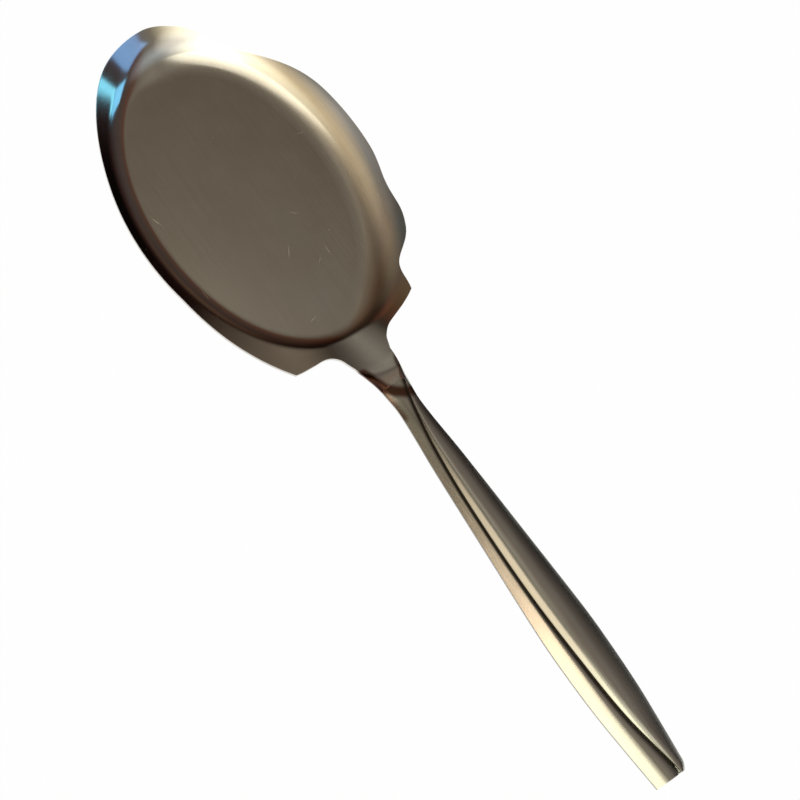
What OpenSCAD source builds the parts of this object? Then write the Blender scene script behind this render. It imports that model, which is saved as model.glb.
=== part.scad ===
// Oval serving pan on a hollow handle.
// The pan is one pressing: flat floor, flared rim, two ears, ramped neck, bolster and tang.
// The handle is three soldered shells, with a leaf and a band that meet in a crease along the front.
// X runs from the tip of the pan to the end of the handle, Z is up, and the leaf lies towards +Y.
// The origin is the middle of the floor's underside.

/* [Pan] */
// Length of the flat floor, from the tip side to the neck
floor_length = 97; // [80:1:120]
// Width of the flat floor
floor_width = 62; // [50:1:76]
// Thickness of the sheet
sheet = 1.2; // [0.8:0.1:1.6]
// Radius of the bend from the floor into the rim
floor_fillet = 9.5; // [6:0.5:10]

/* [Rim] */
// Slope of the flared rim in degrees
rim_slope = 31; // [25:1:40]
// Width of the rim at the tip, seen from above
tip_rim = 10.7; // [8.5:0.1:13]
// Width of the rim along the band's side of the pan
band_side_rim = 7.3; // [6:0.1:9]
// Width of the rim along the leaf's side of the pan
leaf_side_rim = 8.5; // [7.5:0.1:10.5]
// Depth of the broad dip in the outline between the tip and the leaf's side
tip_dip = 3.9; // [0:0.1:4.4]
// Depth of the slight dip halfway along the leaf's side
side_dip = 0.8; // [0:0.1:1.2]
// Height of the slight swell between that dip and the ear
side_swell = 0.9; // [0:0.1:1.4]
// Depth of the dip just before the ear on the leaf's side
ear_dip = 1.8; // [0:0.1:2.2]
// Reach of the ear on the band's side, out from the floor
band_ear = 14.1; // [11:0.1:16]
// Reach of the ear on the leaf's side, out from the floor
leaf_ear = 10.9; // [9.5:0.1:13]
// Reach of the hollow between the ear and the neck, band's side
band_hollow = 8.2; // [7:0.1:9.5]
// Reach of the hollow between the ear and the neck, leaf's side
leaf_hollow = 8.9; // [7:0.1:9.5]

/* [Neck] */
// Slope of the neck's ramp in degrees
neck_slope = 25; // [20:1:30]
// Height that the ramp climbs above the floor
neck_rise = 8.5; // [7:0.1:9]
// Radius of the bend at the top of the ramp
neck_bend = 12; // [8:0.5:14]
// Length of the neck, from the floor's edge to the handle
neck_length = 23.5; // [20:0.5:30]
// Width of the neck where it meets the handle
joint_width = 9; // [8:0.1:11]

/* [Handle] */
// Length of the handle, from the neck to the square end
handle_length = 137.5; // [110:0.5:170]
// Width of the handle at its narrowest
waist_width = 7.6; // [6.6:0.1:8.8]
// Width of the handle at its widest
grip_width = 16.6; // [14:0.1:21]
// Width of the handle at the square end
end_width = 11.2; // [10:0.1:14]
// Height of the hollow in front of the side seams, at the widest
front_hollow = 2.1; // [1.8:0.1:2.6]
// Depth of the hollow behind the side seams, at the widest
back_hollow = 3.5; // [2.6:0.1:4.5]
// Depth of the crease at the widest
crease_depth = 1.3; // [0.8:0.1:1.5]
// Height of the leaf's lip above the band along the crease
leaf_lip = 0.4; // [0.1:0.1:0.6]
// Furthest that the crease strays from the middle line
crease_offset = 3.7; // [2.5:0.1:4.5]
// Width of the leaf where it starts at the neck
leaf_start_width = 1.3; // [1:0.1:2]
// Width of the leaf where it stops at the square end
leaf_end_width = 2.6; // [2.2:0.1:3.4]
// Length of the notch between the leaf's tip and the band's end
notch_length = 3; // [2:0.1:5]
// Width of that notch at the square end
notch_width = 0.9; // [0.4:0.1:1.4]
// Amount by which the leaf's outer corner is rounded off at the square end
leaf_corner = 1.1; // [0.5:0.1:1.4]

/* [Construction] */
// Wall of the handle's three shells
wall = 0.7; // [0.5:0.05:0.9]
// Gap between the shells that the solder fills
solder_gap = 0.2; // [0.15:0.01:0.3]
// Clearance left at each soldered or butted face
fit_gap = 0.03; // [0.02:0.01:0.05]
// Length of the tang inside the handle
tang_length = 40; // [25:1:60]
// Room on each side of the tang inside the handle's waist
tang_side_gap = 0.6; // [0.4:0.05:0.9]
// Thickness of the tang
tang_thickness = 1; // [0.8:0.1:1.3]
// Depth of the tang's face below the side seams
tang_drop = 0.2; // [0.2:0.05:0.4]
// Length of the cement in the handle
cement_length = 46; // [30:1:66]
// Clearance round the cement
cement_gap = 0.06; // [0.04:0.01:0.1]
// Thickness of the end plug
plug_thickness = 2; // [1.2:0.1:3]
// Depth of the end plug's face below the square end
plug_inset = 0.4; // [0.2:0.1:1]
// Clearance round the end plug
plug_gap = 0.06; // [0.04:0.01:0.1]

/* [Hidden] */

// Directions round the pan are in degrees from the handle, positive towards the leaf
band_ear_dir = 38;
leaf_ear_dir = 42.4;
neck_dir = 10.7;
// Where the ears have faded into the sides, and where the rim has its full width for the tip
band_ear_end = 78;
leaf_ear_end = 54.4;
band_tip_start = 105;
band_tip_end = 155;
leaf_tip_start = 150;
// Middle and half spread of each dip and swell along the leaf's side
tip_dip_at = [130, 29];
side_dip_at = [77, 9];
side_swell_at = [66, 13];
ear_dip_at = [53.5, 11];
// Share of the neck's length that belongs to the pan's rim
root_share = 0.57;
half_l = floor_length / 2;
half_w = floor_width / 2;
neck_root_x = half_l + root_share * neck_length;
joint_x = half_l + neck_length;

// Roundness of the handle's back: 2 is an ellipse, more is squarer
fullness = 2.6;
// Hollow in front of the seams where the handle meets the neck
joint_front_hollow = 0.1;
waist_hollow = waist_width - 2 * wall;
tang_width = waist_hollow - 2 * tang_side_gap;
tang_room = pow(1 - pow(tang_width / waist_hollow, fullness), 1 / fullness);
joint_back_hollow = (tang_drop + tang_thickness + 2 * cement_gap) / tang_room;

// Mesh density
neck_cols = 12;
fillet_rings = 4;
wall_rings = 3;
neck_steps = 8;
arc_steps = 10;
handle_steps = 40;
notch_steps = 4;
plug_steps = 4;

function clamp01(t) = min(1, max(0, t));
function ease(t) = let(c = clamp01(t)) c * c * (3 - 2 * c);
function mix(a, b, t) = a + (b - a) * t;
// Points from a to b, closer together at both ends
function spread(a, b, j, n) = mix(a, b, (1 - cos(180 * j / n)) / 2);

// Smooth curve through the points of a table of [place, value] pairs
function span_of(t, x, i = 0) = (i >= len(t) - 2 || x < t[i + 1][0]) ? i : span_of(t, x, i + 1);
function tangent(t, i) =
    let(a = max(0, i - 1), b = min(len(t) - 1, i + 1))
    (t[b][1] - t[a][1]) / (t[b][0] - t[a][0]);
function curve(t, x) =
    let(i = span_of(t, x), w = t[i + 1][0] - t[i][0], u = (x - t[i][0]) / w)
    t[i][1] * (1 + 2 * u) * (1 - u) ^ 2 + t[i + 1][1] * u * u * (3 - 2 * u)
    + w * (tangent(t, i) * u * (1 - u) ^ 2 - tangent(t, i + 1) * u * u * (1 - u));

// Floor ellipse: the point whose outward normal has the given direction, and points further out
function floor_edge(dir) =
    [half_l ^ 2 * cos(dir), half_w ^ 2 * sin(dir)] / norm([half_l * cos(dir), half_w * sin(dir)]);
function out_from_floor(dir, d) = floor_edge(dir) + d * [cos(dir), sin(dir)];

// Rim width round the pan
function bump(dir, at, height) =
    abs(dir - at[0]) < at[1] ? height * cos(90 * (dir - at[0]) / at[1]) ^ 2 : 0;
function between(dir, start, end) = clamp01((dir - start) / (end - start));
root_reach = (neck_root_x - floor_edge(neck_dir)[0]) / cos(neck_dir);
leaf_flank = [
    [neck_dir, root_reach], [15.5, leaf_hollow + 1.7], [24, leaf_hollow],
    [leaf_ear_dir, leaf_ear]
];
band_flank = [
    [neck_dir, root_reach], [15, band_hollow + 1.3], [22, band_hollow],
    [30, mix(band_hollow, band_ear, 0.38)], [band_ear_dir, band_ear]
];
function leaf_rim(dir) =
    mix(leaf_side_rim, tip_rim, ease(between(dir, leaf_tip_start, 180)))
    + (leaf_ear - leaf_side_rim) * (1 - between(dir, leaf_ear_dir, leaf_ear_end)) ^ 2
    - bump(dir, tip_dip_at, tip_dip) - bump(dir, side_dip_at, side_dip)
    + bump(dir, side_swell_at, side_swell) - bump(dir, ear_dip_at, ear_dip);
function band_rim(dir) =
    mix(band_side_rim, tip_rim, ease(between(dir, band_tip_start, band_tip_end)))
    + (band_ear - band_side_rim) * (1 - between(dir, band_ear_dir, band_ear_end)) ^ 1.2;
function reach(dir) =
    abs(dir) <= neck_dir ? (neck_root_x - floor_edge(dir)[0]) / cos(dir)
    : dir > 0 ? (dir < leaf_ear_dir ? curve(leaf_flank, dir) : leaf_rim(dir))
    : (-dir < band_ear_dir ? curve(band_flank, -dir) : band_rim(-dir));

// Height above the floor at distance d outside its edge: a bend, then a straight flare
function slope_at(dir) = mix(neck_slope, rim_slope, ease((abs(dir) - 15) / 40));
function bend_reach(slope) = floor_fillet * sin(slope);
function flare(d, slope) =
    d < bend_reach(slope) ? floor_fillet - sqrt(floor_fillet ^ 2 - d ^ 2)
    : floor_fillet * (1 - cos(slope)) + (d - bend_reach(slope)) * tan(slope);

// The neck climbs the same way, then bends level
ramp_top = neck_rise - neck_bend * (1 - cos(neck_slope));
bend_start =
    bend_reach(neck_slope) + (ramp_top - floor_fillet * (1 - cos(neck_slope))) / tan(neck_slope);
bend_end = bend_start + neck_bend * sin(neck_slope);
function ramp(d) =
    d < bend_start ? flare(d, neck_slope)
    : d < bend_end ? neck_rise - neck_bend + sqrt(neck_bend ^ 2 - (bend_end - d) ^ 2)
    : neck_rise;

// Heights of the handle at its joint with the neck
joint_crown = joint_front_hollow + wall;
joint_back = joint_back_hollow + wall;
seam_z = sheet + ramp(neck_length) - joint_crown - solder_gap / 2;

// Sizes along the handle, u running from 0 at the neck to 1 at the square end
half_table = [
    [0, joint_width / 2], [0.06, waist_width / 2], [0.2, mix(waist_width, grip_width, 0.3) / 2],
    [0.4, mix(waist_width, grip_width, 0.64) / 2], [0.6, mix(waist_width, grip_width, 0.96) / 2],
    [0.68, grip_width / 2], [0.8, mix(grip_width, end_width, 0.15) / 2],
    [0.9, mix(grip_width, end_width, 0.54) / 2], [1, end_width / 2]
];
front_table = [
    [0, joint_front_hollow], [0.16, 0.36 * front_hollow], [0.4, 0.76 * front_hollow],
    [0.68, front_hollow], [1, 0.68 * front_hollow]
];
back_table = [
    [0, joint_back_hollow], [0.16, mix(joint_back_hollow, back_hollow, 0.3)],
    [0.4, mix(joint_back_hollow, back_hollow, 0.7)], [0.68, back_hollow], [1, 0.66 * back_hollow]
];
crease_table = [
    [0, joint_width / 2 - leaf_start_width], [0.07, 0.7], [0.16, -0.38 * crease_offset],
    [0.3, -0.8 * crease_offset], [0.52, -crease_offset], [0.7, -0.76 * crease_offset],
    [0.85, -0.3 * crease_offset], [1, end_width / 2 - leaf_end_width]
];
depth_table = [
    [0, 0], [0.06, 0.2 * crease_depth], [0.16, 0.5 * crease_depth], [0.4, 0.9 * crease_depth],
    [0.68, crease_depth], [1, 0.85 * crease_depth]
];
// Width of the crease's slope on the band, and on the leaf
band_slope_table = [[0, 0.9], [0.5, 1.1], [0.64, 1.6], [0.75, 2.2], [0.86, 3.2], [1, 5.6]];
leaf_slope_width = 2.6;
function leaf_slope(u) = min(leaf_slope_width, leaf_half(u) - wall - crease_y(u));

function along(u) = joint_x + fit_gap + u * handle_length;
function half_at(u) = curve(half_table, u);
function from_end(u) = (1 - u) * handle_length;
function leaf_half(u) = half_at(u) - leaf_corner * clamp01(1 - from_end(u) / notch_length) ^ 2;
function crease_y(u) = curve(crease_table, u);
function band_edge(u) =
    crease_y(u) - solder_gap / 2 - notch_width * clamp01(1 - from_end(u) / notch_length) ^ 2;
function leaf_edge(u) = crease_y(u) + solder_gap / 2;
function lip_at(u) = leaf_lip * ease(u / 0.2);
// The front is a shallow arch, and the back a fuller curve that meets the seams upright
function arch(y, half) = 1 - (y / half) ^ 2;
function bulge(y, half) = pow(max(0, 1 - pow(abs(y) / half, fullness)), 1 / fullness);
function side_half(u, y) = y < 0 ? half_at(u) : leaf_half(u);

// Depth of the crease below the handle's crown
function groove(u, y, lip) =
    let(e = y - crease_y(u))
    e < 0 ? curve(depth_table, u) * clamp01(1 + e / curve(band_slope_table, u)) ^ 2
    : (curve(depth_table, u) - lip) * clamp01(1 - e / leaf_slope(u)) ^ 2;
// Front and back surfaces, set in from the outside by the given amount
function front_z(u, y, inset, lip = 0) =
    seam_z + solder_gap / 2 - groove(u, y, lip)
    + (curve(front_table, u) + wall - inset) * arch(y, side_half(u, y) - inset);
function back_z(u, y, inset) =
    seam_z - solder_gap / 2 - (curve(back_table, u) + wall - inset) * bulge(y, side_half(u, y) - inset);

// Rows of points along the handle, one arc a row, between two edges given by place
function stations(from, to, n) = [for (i = [0:n]) mix(from, to, i / n)];
notch_start = 1 - notch_length / handle_length;
shell_us = stations(0, notch_start, handle_steps);
handle_us = concat(shell_us, [for (i = [1:notch_steps]) mix(notch_start, 1, i / notch_steps)]);
function band_row(u, inset) =
    [for (j = [0:arc_steps])
        let(y = spread(inset - half_at(u), band_edge(u), j, arc_steps))
        [along(u), y, front_z(u, y, inset)]];
function leaf_row(u, inset) =
    [for (j = [0:arc_steps])
        let(y = spread(leaf_edge(u), leaf_half(u) - inset, j, arc_steps))
        [along(u), y, front_z(u, y, inset, lip_at(u))]];
function back_row(u, inset) =
    [for (j = [0:2 * arc_steps])
        let(y = spread(inset - half_at(u), leaf_half(u) - inset, j, 2 * arc_steps))
        [along(u), y, back_z(u, y, inset)]];
// Rows that fill the hollow: the front arc has a point on the crease, and the back arc follows it
function fill_ys(u, inset) =
    concat([for (j = [0:arc_steps]) spread(inset - half_at(u), crease_y(u), j, arc_steps)],
           [for (j = [1:arc_steps]) spread(crease_y(u), leaf_half(u) - inset, j, arc_steps)]);
function fill_front(u, inset) = [for (y = fill_ys(u, inset)) [along(u), y, front_z(u, y, inset)]];
function fill_back(u, inset) = [for (y = fill_ys(u, inset)) [along(u), y, back_z(u, y, inset)]];

// Two triangles for the four corners of a facet
function facet(a, b, c, d) = [[a, b, c], [a, c, d]];
function flat_list(lists) = [for (l = lists) each l];

// Closed solid between an upper and a lower grid of points, rows along X and columns along Y
module sheet_between(upper, lower) {
    rows = len(upper);
    cols = len(upper[0]);
    under = rows * cols;
    points = concat(flat_list(upper), flat_list(lower));
    faces = concat(
        [for (i = [0:rows - 2], j = [0:cols - 2])
            let(a = i * cols + j, b = a + cols)
            each concat(facet(a, a + 1, b + 1, b),
                        facet(under + a, under + b, under + b + 1, under + a + 1))],
        [for (i = [0:rows - 2])
            let(a = i * cols, b = a + cols, c = a + cols - 1, d = b + cols - 1)
            each concat(facet(a, b, under + b, under + a), facet(d, c, under + c, under + d))],
        [for (j = [0:cols - 2])
            let(a = j, b = (rows - 1) * cols + j)
            each concat(facet(a + 1, a, under + a, under + a + 1),
                        facet(b, b + 1, under + b + 1, under + b))]
    );
    polyhedron(points = points, faces = faces, convexity = 6);
}

// Columns of points round the pan: across the neck, round the leaf's side to the tip, and back
flank_dirs = [13, 15.5, 18, 21, 24, 28, 33];
rim_step = 4;
pan_dirs = concat(
    [for (j = [0:neck_cols]) -neck_dir * cos(180 * j / neck_cols)],
    flank_dirs, [leaf_ear_dir],
    [for (a = [leaf_ear_dir + 2.6:rim_step:178]) a], [180],
    [for (a = [178:-rim_step:band_ear_dir + 2]) -a],
    [-band_ear_dir], [for (i = [len(flank_dirs) - 1:-1:0]) -flank_dirs[i]]
);
rings = fillet_rings + wall_rings;
function ring_distance(dir, k) =
    let(bend = min(bend_reach(slope_at(dir)), 0.8 * reach(dir)))
    k <= fillet_rings ? bend * k / fillet_rings : mix(bend, reach(dir), (k - fillet_rings) / wall_rings);
function pan_point(dir, k, drop) =
    let(d = ring_distance(dir, k), p = out_from_floor(dir, d))
    [p[0], p[1], sheet + flare(d, slope_at(dir)) - drop];

// The neck goes from the sheet's plain section to the handle's rounded one
root_half = out_from_floor(neck_dir, root_reach)[1];
function neck_point(i, j, upper) =
    let(
        t = i / neck_steps,
        x = mix(neck_root_x, joint_x, t),
        half = mix(root_half, joint_width / 2, mix(t, ease(t), 0.5)),
        y = -half * cos(180 * j / neck_cols),
        bow = (1 - t) * y ^ 2 / (2 * (half_w ^ 2 / half_l + x - half_l)),
        crown = sheet + ramp(min(x - half_l + bow, neck_length)),
        b = ease(t)
    )
    [x, y, upper ? crown - b * joint_crown * (1 - arch(y, half))
        : crown - (1 - b) * sheet - b * (joint_crown + solder_gap + joint_back * bulge(y, half))];

module pan_pressing() {
    cols = len(pan_dirs);
    under = cols * (rings + 1);
    across = neck_cols + 1;
    neck = 2 * under;
    neck_under = neck + neck_steps * across;
    points = concat(
        [for (k = [0:rings]) each [for (dir = pan_dirs) pan_point(dir, k, 0)]],
        [for (k = [0:rings]) each [for (dir = pan_dirs) pan_point(dir, k, sheet)]],
        [for (i = [1:neck_steps], j = [0:neck_cols]) neck_point(i, j, true)],
        [for (i = [1:neck_steps], j = [0:neck_cols]) neck_point(i, j, false)]
    );
    upper = function(i, j) i == 0 ? rings * cols + j : neck + (i - 1) * across + j;
    lower = function(i, j) i == 0 ? under + rings * cols + j : neck_under + (i - 1) * across + j;
    faces = concat(
        [[for (c = [cols - 1:-1:0]) c], [for (c = [0:cols - 1]) under + c]],
        [for (k = [0:rings - 1], c = [0:cols - 1])
            let(n = (c + 1) % cols, a = k * cols + c, b = k * cols + n)
            each concat(facet(a, b, b + cols, a + cols),
                        facet(under + a, under + a + cols, under + b + cols, under + b))],
        [for (c = [neck_cols:cols - 1])
            let(n = (c + 1) % cols, a = rings * cols + c, b = rings * cols + n)
            each facet(a, b, under + b, under + a)],
        [for (i = [0:neck_steps - 1], j = [0:neck_cols - 1])
            each concat(facet(upper(i, j), upper(i, j + 1), upper(i + 1, j + 1), upper(i + 1, j)),
                        facet(lower(i, j), lower(i + 1, j), lower(i + 1, j + 1), lower(i, j + 1)))],
        [for (i = [0:neck_steps - 1])
            each concat(facet(upper(i, 0), upper(i + 1, 0), lower(i + 1, 0), lower(i, 0)),
                        facet(upper(i + 1, neck_cols), upper(i, neck_cols),
                              lower(i, neck_cols), lower(i + 1, neck_cols)))],
        [for (j = [0:neck_cols - 1])
            each facet(upper(neck_steps, j), upper(neck_steps, j + 1),
                       lower(neck_steps, j + 1), lower(neck_steps, j))]
    );
    polyhedron(points = points, faces = faces, convexity = 6);
}

// Bar of the tang's section, grown all round by the given clearance
module tang_bar(from, to, grow) {
    translate([from, -tang_width / 2 - grow, seam_z - tang_drop - tang_thickness - grow])
        cube([to - from, tang_width + 2 * grow, tang_thickness + 2 * grow]);
}

module pan() {
    color([0.62, 0.59, 0.55])
        union() {
            pan_pressing();
            tang_bar(joint_x - 2, joint_x + tang_length, 0);
        }
}

module handle_band() {
    color([0.7, 0.67, 0.6])
        sheet_between([for (u = handle_us) band_row(u, 0)], [for (u = handle_us) band_row(u, wall)]);
}

module handle_leaf() {
    color([0.6, 0.56, 0.5])
        sheet_between([for (u = handle_us) leaf_row(u, 0)], [for (u = handle_us) leaf_row(u, wall)]);
}

module handle_back() {
    color([0.55, 0.53, 0.5])
        sheet_between([for (u = handle_us) back_row(u, wall)], [for (u = handle_us) back_row(u, 0)]);
}

// Ribbon along the handle between two edges, with its upper and lower heights
module ribbon(us, left, right, top, bottom) {
    sheet_between(
        [for (u = us) [[along(u), left(u), top(u)], [along(u), right(u), top(u)]]],
        [for (u = us) [[along(u), left(u), bottom(u)], [along(u), right(u), bottom(u)]]]
    );
}

module seam_solder() {
    half_film = solder_gap / 2 - fit_gap;
    crease_us = [for (u = shell_us) if (u > 0) u];
    seam_top = function(u) seam_z + half_film;
    seam_bottom = function(u) seam_z - half_film;
    color([0.3, 0.28, 0.26]) {
        ribbon(crease_us, function(u) crease_y(u) - half_film, function(u) crease_y(u) + half_film,
               function(u) front_z(u, band_edge(u), 0) - fit_gap,
               function(u) front_z(u, band_edge(u), wall) + fit_gap);
        ribbon(handle_us, function(u) -half_at(u), function(u) wall - half_at(u), seam_top, seam_bottom);
        ribbon(handle_us, function(u) leaf_half(u) - wall, function(u) leaf_half(u), seam_top, seam_bottom);
    }
}

module handle_cement() {
    inset = wall + cement_gap;
    end_u = cement_length / handle_length;
    us = concat([for (u = shell_us) if (u > 0 && u < end_u) u], [end_u]);
    color([0.45, 0.42, 0.38])
        difference() {
            sheet_between([for (u = us) fill_front(u, inset)], [for (u = us) fill_back(u, inset)]);
            tang_bar(joint_x, joint_x + tang_length + cement_gap, cement_gap);
        }
}

module end_plug() {
    inset = wall + plug_gap;
    face_u = 1 - plug_inset / handle_length;
    us = stations(face_u - plug_thickness / handle_length, face_u, plug_steps);
    color([0.5, 0.48, 0.45])
        sheet_between([for (u = us) fill_front(u, inset)], [for (u = us) fill_back(u, inset)]);
}

pan();
handle_band();
handle_leaf();
handle_back();
seam_solder();
handle_cement();
end_plug();
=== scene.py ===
import math

import bmesh
import bpy
from mathutils import Matrix, Vector


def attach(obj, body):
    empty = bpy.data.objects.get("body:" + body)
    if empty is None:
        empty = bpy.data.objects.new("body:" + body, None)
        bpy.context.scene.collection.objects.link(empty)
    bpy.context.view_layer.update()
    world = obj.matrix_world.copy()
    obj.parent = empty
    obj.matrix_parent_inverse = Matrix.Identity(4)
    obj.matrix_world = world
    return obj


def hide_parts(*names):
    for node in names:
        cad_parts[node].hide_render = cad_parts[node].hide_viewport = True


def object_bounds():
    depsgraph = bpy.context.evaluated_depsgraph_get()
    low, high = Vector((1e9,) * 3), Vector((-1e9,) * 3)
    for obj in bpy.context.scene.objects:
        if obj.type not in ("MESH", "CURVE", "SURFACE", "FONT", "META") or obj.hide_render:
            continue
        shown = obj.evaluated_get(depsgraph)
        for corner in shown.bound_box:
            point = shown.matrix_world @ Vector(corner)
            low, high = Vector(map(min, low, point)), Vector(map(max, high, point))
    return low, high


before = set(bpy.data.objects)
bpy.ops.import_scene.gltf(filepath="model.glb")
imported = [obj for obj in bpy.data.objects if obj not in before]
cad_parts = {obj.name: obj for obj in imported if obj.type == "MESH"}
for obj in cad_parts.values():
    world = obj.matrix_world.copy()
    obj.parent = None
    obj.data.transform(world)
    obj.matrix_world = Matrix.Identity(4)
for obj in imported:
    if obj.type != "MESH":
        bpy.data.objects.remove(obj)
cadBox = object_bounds()
mm = 0.001  # sizes below are in millimetres, Blender's are in metres
print("frame loaded:", ", ".join(sorted(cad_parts)))

# Camera: high over the band's side of the pan, rolled so that the handle runs to the lower right
cameraSettings = {
    "aim": (75.42, 1.97, 0.0),
    "distance": 760.5,
    "azimuth": 22.33,  # degrees, 0 looks along +Y
    "elevation": 68.0,
    "roll": 33.96,
    "lens": 117.0,
}


def placeCamera():
    s = cameraSettings
    turn = (
        Matrix.Rotation(math.radians(s["azimuth"]), 4, "Z")
        @ Matrix.Rotation(math.radians(90 - s["elevation"]), 4, "X")
        @ Matrix.Rotation(math.radians(s["roll"]), 4, "Z")
    )
    camera = bpy.data.objects.new("camera", bpy.data.cameras.new("camera"))
    camera.data.lens = s["lens"]
    back = Matrix.Translation((0, 0, s["distance"] * mm))
    camera.matrix_world = Matrix.Translation(Vector(s["aim"]) * mm) @ turn @ back
    bpy.context.collection.objects.link(camera)
    bpy.context.scene.camera = camera


placeCamera()
print("camera placed")


def linear(hexColour):
    values = [int(hexColour[i : i + 2], 16) / 255 for i in (1, 3, 5)]
    return [v / 12.92 if v <= 0.04045 else ((v + 0.055) / 1.055) ** 2.4 for v in values] + [1.0]


# Inputs go by name or number: 6 and 7 are the two colours of a Mix node, whose result is output 2
def addNode(tree, kind, inputs=None, stops=None, **settings):
    node = tree.nodes.new("ShaderNode" + kind)
    for name, value in settings.items():
        setattr(node, name, value)
    for key, value in (inputs or {}).items():
        if isinstance(value, bpy.types.NodeSocket):
            tree.links.new(value, node.inputs[key])
        else:
            node.inputs[key].default_value = value
    for i, (place, hexColour) in enumerate(stops or []):
        ends = node.color_ramp.elements
        stop = ends[i] if i < len(ends) else ends.new(place)
        stop.position = place
        stop.color = linear(hexColour)
    return node


def newMaterial(name):
    material = bpy.data.materials.new(name)
    material.use_nodes = True
    tree = material.node_tree
    tree.nodes.clear()
    return material, tree


def patternScale(size):  # repeats per metre of a pattern of the given size
    return 1 / (size * mm)


scratchShare = 0.28  # share of the cells that hold a scratch


# Short scratches: at most one to a cell, each at its own angle, 1 on the scratch and 0 beside it
def addScratches(tree, place, cell, length, width):
    cellInputs = {"Vector": place, "Scale": patternScale(cell)}
    cells = addNode(tree, "TexVoronoi", cellInputs, voronoi_dimensions="2D")
    offset = addNode(tree, "VectorMath", {0: place, 1: cells.outputs["Position"]}, operation="SUBTRACT")
    chance = addNode(tree, "SeparateColor", {0: cells.outputs["Color"]})
    angle = addNode(tree, "Math", {0: chance.outputs["Red"], 1: 2 * math.pi}, operation="MULTIPLY")
    turnInputs = {"Vector": offset.outputs[0], "Angle": angle.outputs[0]}
    turned = addNode(tree, "VectorRotate", turnInputs, rotation_type="Z_AXIS")
    parts = addNode(tree, "SeparateXYZ", {0: turned.outputs[0]})
    along = addNode(tree, "Math", {0: parts.outputs["X"]}, operation="ABSOLUTE").outputs[0]
    across = addNode(tree, "Math", {0: parts.outputs["Y"]}, operation="ABSOLUTE").outputs[0]
    halfLong = addNode(tree, "Math", {0: chance.outputs["Green"], 1: length * mm / 2}, operation="MULTIPLY")
    longInputs = {"Value": along, "From Min": halfLong.outputs[0], "From Max": 0.0}
    inLength = addNode(tree, "MapRange", longInputs, interpolation_type="SMOOTHSTEP")
    inWidth = addNode(tree, "MapRange", {"Value": across, "From Min": width * mm, "From Max": 0.0})
    depth = addNode(tree, "Math", {0: inLength.outputs[0], 1: inWidth.outputs[0]}, operation="MULTIPLY")
    kept = addNode(tree, "Math", {0: chance.outputs["Blue"], 1: 1 - scratchShare}, operation="GREATER_THAN")
    return addNode(tree, "Math", {0: depth.outputs[0], 1: kept.outputs[0]}, operation="MULTIPLY").outputs[0]


jointShadeBrown = "#63463A"  # painted brown shade over the joint, where neck and handle meet

# Stainless sheet, pressed and then buffed: close to a mirror, with hairlines from the buff along
# the pan, cloudy wiping marks, a few short scratches from serving spoons and a rim rubbed brighter
pressedSteelSettings = {
    "colour": "#C1BCB4",
    "cloudColour": "#B9B4AB",
    "hairlineColour": "#AFA99F",
    "edgeColour": "#DAD6CE",  # rubbed bright where the rim is knocked and wiped
    "jointShadeColour": jointShadeBrown,
    "scratchColour": "#D6D1C8",
    "roughness": 0.1,
    "cloudRoughness": 0.02,
    "edgeRoughness": 0.12,
    "scratchRoughness": 0.3,
    "cloudSize": 16.0,
    "cloudRange": (0.35, 0.7),  # noise between which the clouds fade in
    "hairlineSpacing": 0.22,  # buffing leaves lines about 0.02 apart, drawn coarser so that they show
    "hairlineLength": 24.0,
    "hairlineDepth": 0.0004,
    "hairlineRange": (0.3, 0.7),
    "hairlineShare": 0.5,
    "edgeNickSize": 2.2,
    "edgeNickRange": (0.15, 0.5),
    "scratchCell": 13.0,
    "scratchLength": 7.0,
    "scratchWidth": 0.08,
    "scratchDepth": 0.004,
}


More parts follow.
